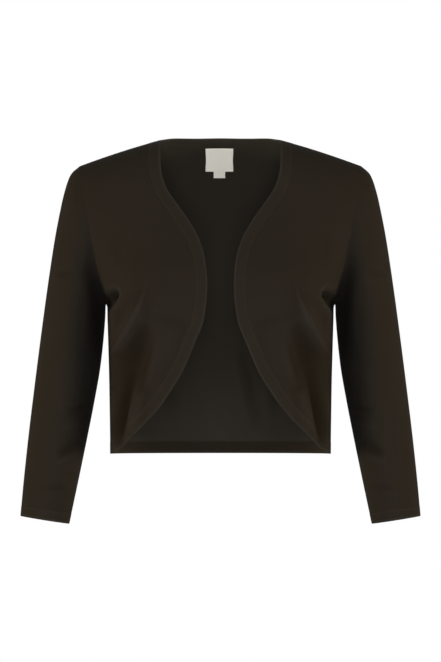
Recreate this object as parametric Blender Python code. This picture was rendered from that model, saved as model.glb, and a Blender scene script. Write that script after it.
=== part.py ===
"""Knitted bolero shrug, filled out as if worn: open rounded fronts, set-in three-quarter sleeves.

The front faces -Y, +X is the wearer's left and +Z is up. The origin lies between the two
shoulder seams at the neck, where a wearer's shoulders hold the garment. Every size and
table is in millimetres, and the meshes are made in metres.

One smooth cloth surface is worked out first, as rows that run from the armhole and side
seam to the middle of the front and the back. The pieces are cut from that surface, so
neighbours share their seam lines, and each piece is then given its wall.
"""

import math

import bpy
import numpy as np

for old in list(bpy.data.objects):
    bpy.data.objects.remove(old, do_unlink=True)

MM = 0.001

# Cloth and bands
PANEL_WALL = 1.6
BAND_WALL = 2.0
BAND_WIDTH = 16.0
CUFF_BAND = 14.0
SEAM_GAP = 0.3

# Heights of the body, measured down from the shoulder at the neck
TIP_DROP = 33.5
PIT_DROP = 219.0
UNDER_PIT_DROP = 223.5
HEM_DROP = 424.0

# Armhole: an upright oval from the shoulder tip to the underarm
TIP_X = 191.0
PIT_X = 156.0
ARMHOLE_BOW = 2.5
ARMHOLE_AHEAD = 47.0
ARMHOLE_BEHIND = 50.0

# Neck opening at the shoulder seam and at the middle of the back
NECK_HALF_WIDTH = 81.5
NECK_BEHIND = 59.0

# Label and size tab, sewn inside the back just under the neck band
LABEL_WIDTH = 38.0
LABEL_HEIGHT = 31.0
LABEL_WALL = 0.8
TAB_WIDTH = 16.0
TAB_HEIGHT = 9.0
LABEL_SIDE = -1.5
LABEL_LIFT = 0.5

# Segments along the seams
ARMHOLE_STEPS = 13
SIDE_STEPS = 11
SHOULDER_STEPS = 12
NECK_STEPS = 6
BAND_STEPS = 2
CUFF_STEPS = 2
SLEEVE_RINGS = 24


class Table:
    """Rows of numbers under named columns, read smoothly between rows without overshoot."""

    def __init__(self, columns, rows):
        self.columns = columns.split()
        self.rows = np.array(rows, float)
        self.keys = self.rows[:, 0]
        step = np.diff(self.keys)[:, None]
        rise = np.diff(self.rows, axis=0) / step
        before = 2 * step[1:] + step[:-1]
        after = step[1:] + 2 * step[:-1]
        agree = rise[:-1] * rise[1:] > 0
        safe_low = np.where(agree, rise[:-1], 1.0)
        safe_high = np.where(agree, rise[1:], 1.0)
        inner = np.where(agree, (before + after) / (before / safe_low + after / safe_high), 0.0)
        self.slopes = np.vstack([rise[:1], inner, rise[-1:]])

    def at(self, key):
        key = min(max(key, self.keys[0]), self.keys[-1])
        i = min(int(np.searchsorted(self.keys, key, side="right")) - 1, len(self.keys) - 2)
        span = self.keys[i + 1] - self.keys[i]
        t = (key - self.keys[i]) / span
        start = (1 + 2 * t) * (1 - t) ** 2 * self.rows[i] + t * (1 - t) ** 2 * span * self.slopes[i]
        end = t * t * (3 - 2 * t) * self.rows[i + 1] - t * t * (1 - t) * span * self.slopes[i + 1]
        return dict(zip(self.columns, start + end))


# Half width of the body at the side seam
SIDE = Table("drop half_width", (
    (219.0, 156.0),
    (223.5, 153.3),
    (240.0, 152.9),
    (280.0, 151.7),
    (340.0, 150.3),
    (424.0, 149.1),
))

# Rows of the body. A level below zero is on the front, above zero on the back, zero is
# the shoulder seam, one is the underarm and two is the hem. Each row starts at the
# armhole or side seam, is drawn towards near and far, and ends at the middle.
BODY = Table("level near_x near_y near_z far_x far_y far_z middle_y middle_z", (
    (-2.00, 149.1, -72, -424, 82, -100, -424, -97, -424),
    (-1.60, 150.3, -76, -342, 83, -106, -342, -102, -342),
    (-1.40, 151.3, -83, -301, 85, -113, -301, -106, -301),
    (-1.20, 152.3, -98, -260, 87, -124, -260, -109, -260),
    (-1.00, 153.5, -111, -219, 86, -132, -219, -109, -219),
    (-0.82, 149.0, -102, -182, 78, -126, -184, -104, -184),
    (-0.60, 142.0, -81, -134, 65, -98, -134, -87, -132),
    (-0.40, 144.0, -65, -84, 61, -68, -78, -64, -72),
    (-0.22, 147.0, -47, -46, 60, -47, -26, -45, -16),
    (-0.10, 149.0, -26, -25, 60, -26, 3, -25, 11),
    (0.00, 150.0, 0, -18, 60, 0, 13, 0, 16),
    (0.10, 149.0, 28, -25, 60, 34, 16, 34, 16),
    (0.22, 147.0, 54, -46, 60, 60, 5, 60, 5),
    (0.40, 146.0, 76, -86, 62, 81, -44, 81, -44),
    (0.60, 148.0, 92, -138, 66, 98, -112, 98, -112),
    (0.82, 151.0, 97, -184, 71, 107, -174, 107, -174),
    (1.00, 153.5, 88, -219, 76, 107, -214, 107, -214),
    (1.20, 152.3, 78, -260, 78, 102, -258, 102, -258),
    (1.40, 151.3, 71, -301, 78, 97, -301, 97, -301),
    (1.60, 150.3, 67, -342, 78, 93, -342, 93, -342),
    (2.00, 149.1, 64, -424, 78, 89, -424, 89, -424),
))

# Front edge as the front view shows it, from the shoulder seam round to the side seam
FRONT_EDGE = (
    (81.8, -12.0),
    (80.6, -36.0),
    (73.5, -62.0),
    (60.5, -82.0),
    (44.0, -105.5),
    (30.0, -130.0),
    (21.3, -157.0),
    (17.7, -195.0),
    (22.5, -241.0),
    (36.0, -277.0),
    (51.5, -313.0),
    (64.5, -334.5),
    (81.0, -358.5),
    (97.0, -377.0),
    (123.0, -402.6),
    (136.8, -416.5),
    (149.1, -424.0),
)

# Where the front edge's seam passes the underarm row and turns under, as parts of its length
UNDERARM_PART = 0.40
CORNER_PART = 0.68

# Rings of the sleeve, from the armhole to the edge of the cuff: where each ring meets the
# outer and the inner outline, half its depth and how far behind the side seam it lies
SLEEVE = Table("along outer_x outer_z inner_x inner_z half_depth behind", (
    (0, 191.0, -33.5, 156.0, -219.0, 48.5, 1.5),
    (15, 202.6, -44.3, 156.9, -223.0, 49.0, 2.0),
    (35, 212.0, -70.5, 157.1, -228.5, 49.5, 2.0),
    (58, 217.3, -94.0, 157.3, -236.0, 50.0, 2.0),
    (94, 223.9, -128.0, 158.2, -249.0, 51.0, 2.0),
    (153, 233.0, -187.0, 160.3, -273.0, 51.0, 2.0),
    (225, 242.8, -258.4, 164.0, -305.0, 49.5, 3.0),
    (313, 253.9, -345.4, 173.3, -358.0, 45.0, 4.0),
    (357, 259.2, -389.0, 181.8, -401.0, 43.0, 3.0),
    (401, 264.0, -432.5, 190.5, -443.5, 40.0, 0.0),
    (445, 268.3, -476.0, 199.5, -486.5, 37.0, -5.0),
    (478, 271.0, -508.5, 206.4, -518.8, 35.0, -9.0),
))
CAP_BLEND = 120.0

# Largest folds: the zone and side they lie on, the path in the front view, half width, height
FOLDS = (
    ("body", -1, (106, -206), (126, -256), (150, -288), 13, 3.0),
    ("body", -1, (98, -240), (121, -292), (137, -372), 19, -4.5),
    ("body", -1, (62, -238), (78, -285), (104, -345), 17, 1.5),
    ("body", 1, (150, -214), (112, -262), (58, -292), 16, -2.5),
    ("body", 1, (146, -300), (96, -340), (40, -352), 20, -2.5),
    ("body", 1, (150, -118), (128, -160), (118, -216), 15, -2.0),
    ("sleeve", -1, (175, -138), (169, -228), (175, -322), 11, -3.5),
    ("sleeve", -1, (190, -396), (206, -418), (226, -432), 9, -2.5),
    ("sleeve", -1, (182, -372), (200, -386), (222, -392), 9, 1.5),
    ("sleeve", 1, (176, -140), (170, -228), (178, -320), 12, -3.0),
    ("sleeve", 1, (186, -388), (214, -402), (246, -398), 10, -2.5),
    ("sleeve", 1, (192, -424), (220, -436), (252, -432), 9, -2.0),
)


def between(start, end, part):
    return start + (end - start) * part


def side_point(level):
    """Point on the armhole above the underarm, and on the side seam below it."""
    part = abs(level)
    if part <= 1:
        turn = math.pi * part
        down = (1 - math.cos(turn)) / 2
        x = between(TIP_X, PIT_X, down) + ARMHOLE_BOW * math.sin(turn)
        reach = -ARMHOLE_AHEAD if level < 0 else ARMHOLE_BEHIND
        return np.array((x, reach * math.sin(turn), -between(TIP_DROP, PIT_DROP, down)))
    drop = between(PIT_DROP, HEM_DROP, part - 1)
    return np.array((SIDE.at(drop)["half_width"], 0.0, -drop))


def body_point(across, level):
    """Point of the cloth, from the side at 0 to the middle at 1, on the row of a level."""
    row = BODY.at(level)
    near = np.array((row["near_x"], row["near_y"], row["near_z"]))
    far = np.array((row["far_x"], row["far_y"], row["far_z"]))
    middle = np.array((0.0, row["middle_y"], row["middle_z"]))
    t = across
    u = 1 - t
    return u ** 3 * side_point(level) + 3 * t * u * u * near + 3 * t * t * u * far + t ** 3 * middle


def across_at(x, level):
    """Place along a row where the cloth reaches x."""
    low = 0.0
    high = 1.0
    for _ in range(22):
        middle = (low + high) / 2
        if body_point(middle, level)[0] > x:
            low = middle
        else:
            high = middle
    return (low + high) / 2


def locate(x, wanted, axis, face):
    """Across and level of the cloth at x, where its y or z (axis 1 or 2) has a wanted value."""
    low = 0.0
    high = 2.0
    for _ in range(22):
        level = (low + high) / 2
        value = body_point(across_at(x, face * level), face * level)[axis]
        before = value > wanted if axis == 2 else face * value < face * wanted
        if before:
            low = level
        else:
            high = level
    level = face * (low + high) / 2
    return np.array((across_at(x, level), level))


def surface_frame(place, face):
    """Point and slopes of the cloth at a place; steps stay on one side of the shoulder."""
    step = 0.002
    across, level = place
    here = body_point(across, level)
    if across < 0.5:
        along = (body_point(across + step, level) - here) / step
    else:
        along = (here - body_point(across - step, level)) / step
    down = (body_point(across, level + face * step) - here) / (face * step)
    return here, along, down


def even_places(places, parts):
    """Places along a path on the cloth, at parts of its real length."""
    points = np.array([body_point(*place) for place in places])
    length = np.concatenate([[0], np.cumsum(np.linalg.norm(np.diff(points, axis=0), axis=1))])
    length /= length[-1]
    columns = [np.interp(parts, length, np.array(places)[:, k]) for k in (0, 1)]
    return np.array(columns).T


def moved_in(places, width, face, towards):
    """The path moved over the cloth by a width, to the side of the path that towards names."""
    points = np.array([body_point(*place) for place in places])
    tangents = np.gradient(points, axis=0)
    moved = []
    for place, tangent in zip(places, tangents):
        here, along, down = surface_frame(place, face)
        inward = np.cross(np.cross(along, down), tangent)
        inward /= np.linalg.norm(inward)
        if inward @ towards < 0:
            inward = -inward
        goal = here + width * inward
        spot = np.array(place)
        for _ in range(4):
            now, along, down = surface_frame(spot, face)
            slopes = np.array((along, down)).T
            spot = spot + np.linalg.lstsq(slopes, goal - now, rcond=None)[0]
            spot[0] = min(max(spot[0], 0.0), 1.0)
            spot[1] = face * min(max(face * spot[1], 0.0), 2.0)
        moved.append(spot)
    return np.array(moved)


def front_edge_places():
    """Dense path of the front edge on the cloth, from the shoulder seam to the side seam."""
    ridge = np.array((across_at(NECK_HALF_WIDTH, 0.0), 0.0))
    points = np.array(((NECK_HALF_WIDTH, body_point(*ridge)[2]),) + FRONT_EDGE)
    chord = np.concatenate([[0], np.cumsum(np.linalg.norm(np.diff(points, axis=0), axis=1))])
    path = Table("chord x z", np.column_stack([chord, points]))
    places = [ridge]
    for turn in np.linspace(0, math.pi, 110)[1:-1]:
        spot = path.at(chord[-1] * (1 - math.cos(turn)) / 2)
        places.append(locate(spot["x"], spot["z"], 2, -1))
    places.append(np.array((0.0, -2.0)))
    return np.array(places)


def neck_edge_places():
    """Dense path of the back neck edge, an oval seen from above, from shoulder to middle."""
    places = [np.array((across_at(NECK_HALF_WIDTH, 0.0), 0.0))]
    for turn in np.linspace(0, math.pi / 2, 40)[1:]:
        x = NECK_HALF_WIDTH * math.cos(turn)
        y = NECK_BEHIND * math.sin(turn)
        places.append(locate(x, y, 1, 1))
    places[-1][0] = 1.0
    return np.array(places)


def band_seam(edge, face, towards, end):
    """The seam a band's width inside an edge, from the shoulder seam to a given end."""
    seam = moved_in(edge, BAND_WIDTH, face, towards)
    edge_point = body_point(*edge[0])
    x = NECK_HALF_WIDTH + BAND_WIDTH
    for _ in range(8):
        spot = body_point(across_at(x, 0.0), 0.0)
        x += BAND_WIDTH - np.linalg.norm(spot - edge_point)
    seam[0] = (across_at(x, 0.0), 0.0)
    seam[-1] = end
    return seam


def middle_level_under(level):
    """Level a band's width below another one, at the middle of the back."""
    start = body_point(1.0, level)
    lower = level
    while np.linalg.norm(body_point(1.0, lower) - start) < BAND_WIDTH:
        lower += 0.0005
    return lower


def coons(left, right, top, bottom):
    """Grid of places inside four edges; rows run from left to right, columns downwards."""
    rows = len(left)
    columns = len(top)
    grid = np.zeros((rows, columns, 2))
    for i in range(rows):
        b = i / (rows - 1)
        for j in range(columns):
            a = j / (columns - 1)
            sides = (1 - a) * left[i] + a * right[i] + (1 - b) * top[j] + b * bottom[j]
            corners = (1 - a) * (1 - b) * left[0] + a * (1 - b) * right[0]
            corners = corners + (1 - a) * b * left[-1] + a * b * right[-1]
            grid[i, j] = sides - corners
    return grid


def lay_out(places):
    """Points of the cloth for a grid of places."""
    return np.array([[body_point(*place) for place in row] for row in places])


def side_levels():
    """Levels of the rows where they meet the armhole and then the side seam."""
    armhole = [i / ARMHOLE_STEPS for i in range(ARMHOLE_STEPS + 1)]
    first = 1 + (UNDER_PIT_DROP - PIT_DROP) / (HEM_DROP - PIT_DROP)
    last = 1 + (HEM_DROP - BAND_WIDTH - PIT_DROP) / (HEM_DROP - PIT_DROP)
    side = [between(first, last, i / SIDE_STEPS) for i in range(SIDE_STEPS + 1)]
    return np.array(armhole + side)


def strip(seam, edge):
    """Grid of places for a band between its seam and its edge."""
    return np.array([between(seam, edge, i / BAND_STEPS) for i in range(BAND_STEPS + 1)])


def cut_front(levels, shoulder):
    """Places of the left front and its band; the band's seam goes round two sides of it."""
    rows = len(levels) - 1
    edge = front_edge_places()
    seam = band_seam(edge, -1, (1.0, 0.0, 0.5), (0.0, -levels[-1]))
    upper = np.linspace(0, UNDERARM_PART, ARMHOLE_STEPS + 1)
    lower = np.linspace(UNDERARM_PART, CORNER_PART, rows - ARMHOLE_STEPS + 1)[1:]
    under = np.linspace(CORNER_PART, 1, SHOULDER_STEPS + 1)[1:]
    parts = np.concatenate([upper, lower, under])
    seam = even_places(seam, parts)
    edge = even_places(edge, parts)
    left = np.array([(0.0, -level) for level in levels])
    top = np.array([(across * seam[0, 0], 0.0) for across in shoulder])
    front = coons(left, seam[:rows + 1], top, seam[rows:][::-1])
    return front, strip(seam, edge), top


def cut_back(levels, top):
    """Places of the left half of the back, the neck band and the hem band."""
    rows = len(levels) - 1
    columns = SHOULDER_STEPS + NECK_STEPS
    edge = neck_edge_places()
    neck_level = middle_level_under(edge[-1][1])
    seam = band_seam(edge, 1, (1.0, 1.0, -1.0), (1.0, neck_level))
    parts = np.linspace(0, 1, NECK_STEPS + 1)
    seam = even_places(seam, parts)
    edge = even_places(edge, parts)
    top = np.concatenate([top, seam[1:]])
    left = np.array([(0.0, level) for level in levels])
    right = np.array([(1.0, between(neck_level, levels[-1], i / rows)) for i in range(rows + 1)])
    bottom = np.array([(j / columns, levels[-1]) for j in range(columns + 1)])
    hem = np.array([(j / columns, 2.0) for j in range(columns + 1)])
    return coons(left, right, top, bottom), strip(seam, edge), strip(bottom, hem)


def cut_body():
    """Point grids of the pieces of the wearer's left half, all sharing their seam lines."""
    levels = side_levels()
    shoulder = np.linspace(0, 1, SHOULDER_STEPS + 1)
    front, front_band, top = cut_front(levels, shoulder)
    back, neck_band, hem_band = cut_back(levels, top)
    return {"front": lay_out(front), "front_band": lay_out(front_band), "back": lay_out(back),
            "neck_band": lay_out(neck_band), "hem_band": lay_out(hem_band)}


def sleeve_ring(along):
    """Ring of the sleeve at a distance along its outer side, from the tip round the front."""
    row = SLEEVE.at(along)
    start = SLEEVE.at(0)
    outer = np.array((row["outer_x"], row["behind"], row["outer_z"]))
    inner = np.array((row["inner_x"], row["behind"], row["inner_z"]))
    left_over = max(0.0, 1 - along / CAP_BLEND) ** 2
    ring = []
    for k in range(2 * ARMHOLE_STEPS):
        turn = math.pi * k / ARMHOLE_STEPS
        point = (outer + inner) / 2 + (outer - inner) / 2 * math.cos(turn)
        point[1] -= row["half_depth"] * math.sin(turn)
        level = -k / ARMHOLE_STEPS if k <= ARMHOLE_STEPS else 2 - k / ARMHOLE_STEPS
        middle_x = (start["outer_x"] + start["inner_x"]) / 2
        middle_z = (start["outer_z"] + start["inner_z"]) / 2
        oval = np.array((
            middle_x + (start["outer_x"] - start["inner_x"]) / 2 * math.cos(turn),
            start["behind"] - start["half_depth"] * math.sin(turn),
            middle_z + (start["outer_z"] - start["inner_z"]) / 2 * math.cos(turn)))
        ring.append(point + left_over * (side_point(level) - oval))
    return ring


def cut_sleeve():
    """Point grids of the sleeve and its cuff, one ring a row."""
    end = SLEEVE.keys[-1]
    seam = end - CUFF_BAND
    sleeve = [sleeve_ring(seam * i / SLEEVE_RINGS) for i in range(SLEEVE_RINGS + 1)]
    cuff = [sleeve_ring(seam + CUFF_BAND * i / CUFF_STEPS) for i in range(CUFF_STEPS + 1)]
    return {"sleeve": np.array(sleeve), "cuff": np.array(cuff)}


def spot_key(point):
    return tuple(np.round(point, 3))


def is_tube(name):
    return name.startswith(("sleeve", "cuff"))


def shared_normals(pieces):
    """Outward normal at every point, shared by all the pieces that meet there."""
    sums = {}
    for name, grid in pieces.items():
        rows, columns = grid.shape[:2]
        outward = -1 if name.startswith(("front_band", "back", "hem_band")) else 1
        if name.endswith("_right"):
            outward = -outward
        for i in range(rows - 1):
            for j in range(columns if is_tube(name) else columns - 1):
                k = (j + 1) % columns
                corners = [grid[i, j], grid[i, k], grid[i + 1, k], grid[i + 1, j]]
                face = np.cross(corners[2] - corners[0], corners[3] - corners[1]) * outward
                size = math.sqrt(np.linalg.norm(face))
                for corner in corners:
                    key = spot_key(corner)
                    sums[key] = sums.get(key, 0) + face / size
    return {key: value / np.linalg.norm(value) for key, value in sums.items()}


def fold_height(point, normal, zone):
    """How far the folds move the cloth out at a point."""
    height = 0.0
    for fold_zone, face, start, via, end, half_width, depth in FOLDS:
        facing = min(max(2 * face * normal[1], 0.0), 1.0)
        if fold_zone != zone or facing == 0.0:
            continue
        t = np.linspace(0, 1, 25)[:, None]
        bend = 2 * np.array(via, float) - (np.array(start) + np.array(end)) / 2
        path = (1 - t) ** 2 * np.array(start) + 2 * t * (1 - t) * bend + t * t * np.array(end)
        gaps = np.linalg.norm(path - np.array((abs(point[0]), point[2])), axis=1)
        nearest = int(np.argmin(gaps))
        fade = math.sin(math.pi * t[nearest, 0]) ** 0.7
        height += depth * facing * fade * math.exp(-(gaps[nearest] / half_width) ** 2)
    return height


def fold_cloth(pieces, normals):
    """Move every point along its shared normal by the folds; the armholes stay in place."""
    armhole = {spot_key(point) for name in ("sleeve_left", "sleeve_right") for point in pieces[name][0]}
    for name, grid in pieces.items():
        zone = "sleeve" if is_tube(name) else "body"
        for row in grid:
            for point in row:
                key = spot_key(point)
                if key not in armhole:
                    point += normals[key] * fold_height(point, normals[key], zone)


def edge_pull(grid, normals, around):
    """The grid with each open edge drawn in by half a seam gap."""
    rows, columns = grid.shape[:2]
    pulled = grid.copy()
    sides = [((0, j), (1, j), (0, min(j + 1, columns - 1)), (0, max(j - 1, 0))) for j in range(columns)]
    sides += [((rows - 1, j), (rows - 2, j), (rows - 1, min(j + 1, columns - 1)), (rows - 1, max(j - 1, 0)))
              for j in range(columns)]
    if around:
        sides = [(a, b, (a[0], (a[1] + 1) % columns), (a[0], (a[1] - 1) % columns)) for a, b, _, _ in sides]
    else:
        sides += [((i, 0), (i, 1), (min(i + 1, rows - 1), 0), (max(i - 1, 0), 0)) for i in range(rows)]
        sides += [((i, columns - 1), (i, columns - 2), (min(i + 1, rows - 1), columns - 1),
                   (max(i - 1, 0), columns - 1)) for i in range(rows)]
    for here, inside, after, before in sides:
        inward = np.cross(normals[here], grid[after] - grid[before])
        inward /= np.linalg.norm(inward)
        if inward @ (grid[inside] - grid[here]) < 0:
            inward = -inward
        pulled[here] += inward * SEAM_GAP / 2
    return pulled


def wall_mesh(grid, normals, wall, around):
    """Closed wall through a grid of points, as vertices in metres and outward triangles."""
    rows, columns = grid.shape[:2]
    outer = grid + normals * wall / 2
    inner = grid - normals * wall / 2
    points = np.concatenate([outer.reshape(-1, 3), inner.reshape(-1, 3)])
    size = rows * columns
    faces = []

    def quad(a, b, c, d):
        if np.linalg.norm(points[a] - points[c]) <= np.linalg.norm(points[b] - points[d]):
            faces.extend(((a, b, c), (a, c, d)))
        else:
            faces.extend(((a, b, d), (b, c, d)))

    for i in range(rows - 1):
        for j in range(columns if around else columns - 1):
            k = (j + 1) % columns
            a, b = i * columns + j, i * columns + k
            c, d = (i + 1) * columns + k, (i + 1) * columns + j
            quad(a, b, c, d)
            quad(size + a, size + d, size + c, size + b)
    top = [j for j in range(columns)]
    bottom = [(rows - 1) * columns + j for j in range(columns)]
    if around:
        loops = [top + top[:1], (bottom + bottom[:1])[::-1]]
    else:
        right = [i * columns + columns - 1 for i in range(rows)]
        left = [i * columns for i in range(rows)]
        loops = [top + right[1:] + bottom[::-1][1:] + left[::-1][1:]]
    for loop in loops:
        for a, b in zip(loop, loop[1:]):
            quad(b, a, size + a, size + b)
    corners = points[np.array(faces)]
    volume = np.einsum("ij,ij->", corners[:, 0], np.cross(corners[:, 1], corners[:, 2]))
    if volume < 0:
        faces = [face[::-1] for face in faces]
    return points * MM, faces


def linear(level):
    part = level / 255
    return part / 12.92 if part <= 0.04045 else ((part + 0.055) / 1.055) ** 2.4


def material(name, colour, roughness):
    made = bpy.data.materials.new(name)
    made.use_nodes = True
    shader = made.node_tree.nodes["Principled BSDF"]
    shader.inputs["Base Color"].default_value = [linear(level) for level in colour] + [1.0]
    shader.inputs["Roughness"].default_value = roughness
    shader.inputs["Metallic"].default_value = 0.0
    return made


def sleeve_parts(rings):
    """A sleeve parted along the top of the arm and the underarm, its front also above the elbow."""
    closed = np.concatenate([rings, rings[:, :1]], axis=1)
    front = closed[:, :ARMHOLE_STEPS + 1]
    back = closed[:, ARMHOLE_STEPS:]
    middle = len(rings) // 2
    return {"_front_upper": front[:middle + 1], "_front_lower": front[middle:], "_back": back}


def add_piece(name, grid, normals, wall, look):
    around = name.startswith("cuff")
    points, faces = wall_mesh(edge_pull(grid, normals, around), normals, wall, around)
    mesh = bpy.data.meshes.new(name)
    mesh.from_pydata([tuple(point) for point in points], [], faces)
    mesh.shade_smooth()
    mesh.set_sharp_from_angle(angle=math.radians(50))
    mesh.materials.append(look)
    piece = bpy.data.objects.new(name, mesh)
    bpy.context.scene.collection.objects.link(piece)


def join_halves(left_half):
    """All the cloth pieces: pairs for the fronts and sleeves, whole ones at the back."""
    other_side = np.array((-1.0, 1.0, 1.0))
    pieces = {}
    for name in ("front", "front_band", "sleeve", "cuff"):
        pieces[name + "_left"] = left_half[name]
        pieces[name + "_right"] = left_half[name] * other_side
    for name in ("back", "neck_band", "hem_band"):
        other = (left_half[name] * other_side)[:, ::-1]
        pieces[name] = np.concatenate([left_half[name], other[:, 1:]], axis=1)
    return pieces


def patch_inside_back(top, height, width, columns, rows):
    """Grid and normals of a flat patch sewn on the inner side of the back."""
    grid = np.zeros((rows + 1, columns + 1, 3))
    normals = np.zeros((rows + 1, columns + 1, 3))
    away = PANEL_WALL / 2 + LABEL_LIFT + LABEL_WALL / 2
    for i in range(rows + 1):
        for j in range(columns + 1):
            x = LABEL_SIDE + width * (0.5 - j / columns)
            place = locate(max(abs(x), 0.01), top - height * i / rows, 2, 1)
            here, along, down = surface_frame(place, 1)
            normal = np.cross(down, along)
            normal /= np.linalg.norm(normal)
            turn = np.array((1.0 if x > 0 else -1.0, 1.0, 1.0))
            normals[i, j] = normal * turn
            grid[i, j] = here * turn - normals[i, j] * away
    return grid, normals


def build():
    left_half = cut_body()
    left_half.update(cut_sleeve())
    pieces = join_halves(left_half)
    fold_cloth(pieces, shared_normals(pieces))
    normals = shared_normals(pieces)

    knit = material("fine knit", (38, 34, 28), 0.85)
    band_knit = material("rib-edge knit", (41, 37, 31), 0.85)
    for name, grid in pieces.items():
        is_band = "band" in name or "cuff" in name
        at_points = np.array([[normals[spot_key(point)] for point in row] for row in grid])
        wall = BAND_WALL if is_band else PANEL_WALL
        if name.startswith("sleeve"):
            part_normals = sleeve_parts(at_points)
            for part, part_grid in sleeve_parts(grid).items():
                add_piece(name + part, part_grid, part_normals[part], wall, knit)
        else:
            add_piece(name, grid, at_points, wall, band_knit if is_band else knit)

    middle = pieces["neck_band"].shape[1] // 2
    top = pieces["neck_band"][0, middle, 2]
    woven = material("woven label", (226, 224, 212), 0.7)
    grid, at_points = patch_inside_back(top, LABEL_HEIGHT, LABEL_WIDTH, 6, 5)
    add_piece("label", grid, at_points, LABEL_WALL, woven)
    grid, at_points = patch_inside_back(top - LABEL_HEIGHT, TAB_HEIGHT, TAB_WIDTH, 3, 2)
    add_piece("size_tab", grid, at_points, LABEL_WALL, woven)


build()
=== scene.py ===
"""Knitted bolero shrug, filled out as worn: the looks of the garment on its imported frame."""
import math
import bpy
import numpy as np
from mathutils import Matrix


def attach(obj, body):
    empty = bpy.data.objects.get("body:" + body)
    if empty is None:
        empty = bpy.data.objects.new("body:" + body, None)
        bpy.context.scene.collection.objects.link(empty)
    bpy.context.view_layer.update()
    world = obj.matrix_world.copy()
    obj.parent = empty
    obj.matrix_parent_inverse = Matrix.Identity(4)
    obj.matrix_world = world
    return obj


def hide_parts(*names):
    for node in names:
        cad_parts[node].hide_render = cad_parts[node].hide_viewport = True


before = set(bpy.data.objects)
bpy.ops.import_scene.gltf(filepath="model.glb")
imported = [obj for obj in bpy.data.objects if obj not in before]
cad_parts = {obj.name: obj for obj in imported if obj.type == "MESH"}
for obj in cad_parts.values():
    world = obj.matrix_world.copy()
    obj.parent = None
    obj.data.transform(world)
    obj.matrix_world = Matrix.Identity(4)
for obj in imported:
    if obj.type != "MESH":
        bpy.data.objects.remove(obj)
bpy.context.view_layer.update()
bpy.ops.object.select_all(action="DESELECT")

# The worn shape
# A shrug has no stiff part: the knit takes the shape of the wearer's shoulders, bust and back.
# The rows below give that shape in millimetres, the front at -Y and the wearer's left at +X, and
# every piece is cut from it, so that pieces sewn together share their seam lines.
BAND_WIDTH = 16.0
SEAM_GAP = -0.06
TIP_DROP = 33.5
PIT_DROP = 219.0
HEM_DROP = 424.0
TIP_X = 191.0
PIT_X = 156.0
ARMHOLE_BOW = 2.5
ARMHOLE_AHEAD = 47.0
ARMHOLE_BEHIND = 50.0
NECK_HALF_WIDTH = 81.5
NECK_BEHIND = 59.0
ARMHOLE_LENGTH = 212.0
SIDE_LENGTH = 189.0
SHOULDER_LENGTH = 150.0


class Table:
    """Rows of numbers under named columns, read smoothly between rows without overshoot."""

    def __init__(self, columns, rows):
        self.columns = columns.split()
        self.rows = np.array(rows, float)
        self.keys = self.rows[:, 0]
        step = np.diff(self.keys)[:, None]
        rise = np.diff(self.rows, axis=0) / step
        before = 2 * step[1:] + step[:-1]
        after = step[1:] + 2 * step[:-1]
        agree = rise[:-1] * rise[1:] > 0
        safe_low = np.where(agree, rise[:-1], 1.0)
        safe_high = np.where(agree, rise[1:], 1.0)
        inner = np.where(agree, (before + after) / (before / safe_low + after / safe_high), 0.0)
        self.slopes = np.vstack([rise[:1], inner, rise[-1:]])

    def at(self, keys):
        keys = np.clip(np.asarray(keys, float), self.keys[0], self.keys[-1])
        i = np.clip(np.searchsorted(self.keys, keys, side="right") - 1, 0, len(self.keys) - 2)
        span = (self.keys[i + 1] - self.keys[i])[..., None]
        t = (keys - self.keys[i])[..., None] / span
        start = (1 + 2 * t) * (1 - t) ** 2 * self.rows[i] + t * (1 - t) ** 2 * span * self.slopes[i]
        end = t * t * (3 - 2 * t) * self.rows[i + 1] - t * t * (1 - t) * span * self.slopes[i + 1]
        value = start + end
        return {name: value[..., k] for k, name in enumerate(self.columns)}


SIDE = Table("drop half_width", (
    (219.0, 156.0), (223.5, 153.3), (240.0, 152.9), (280.0, 151.7), (340.0, 150.3), (424.0, 149.1),
))

# Levels below zero are on the front, above zero on the back; zero is the shoulder seam, one the
# underarm and two the hem. Each row is drawn from the side towards near and far, to the middle.
BODY = Table("level near_x near_y near_z far_x far_y far_z middle_y middle_z", (
    (-2.00, 149.1, -72, -424, 82, -100, -424, -97, -424),
    (-1.60, 150.3, -76, -342, 83, -106, -342, -102, -342),
    (-1.40, 151.3, -83, -301, 85, -113, -301, -106, -301),
    (-1.20, 152.3, -98, -260, 87, -124, -260, -109, -260),
    (-1.00, 153.5, -111, -219, 86, -132, -219, -109, -219),
    (-0.82, 149.0, -102, -182, 78, -126, -184, -104, -184),
    (-0.60, 142.0, -81, -134, 65, -98, -134, -87, -132),
    (-0.40, 144.0, -65, -84, 61, -68, -78, -64, -72),
    (-0.22, 147.0, -47, -46, 60, -47, -26, -45, -16),
    (-0.10, 149.0, -26, -25, 60, -26, 3, -25, 11),
    (0.00, 150.0, 0, -18, 60, 0, 13, 0, 16),
    (0.10, 149.0, 28, -25, 60, 34, 16, 34, 16),
    (0.22, 147.0, 54, -46, 60, 60, 5, 60, 5),
    (0.40, 146.0, 76, -86, 62, 81, -44, 81, -44),
    (0.60, 148.0, 92, -138, 66, 98, -112, 98, -112),
    (0.82, 151.0, 97, -184, 71, 107, -174, 107, -174),
    (1.00, 153.5, 88, -219, 76, 107, -214, 107, -214),
    (1.20, 152.3, 78, -260, 78, 102, -258, 102, -258),
    (1.40, 151.3, 71, -301, 78, 97, -301, 97, -301),
    (1.60, 150.3, 67, -342, 78, 93, -342, 93, -342),
    (2.00, 149.1, 64, -424, 78, 89, -424, 89, -424),
))


def between(start, end, part):
    return start + (end - start) * part


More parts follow.
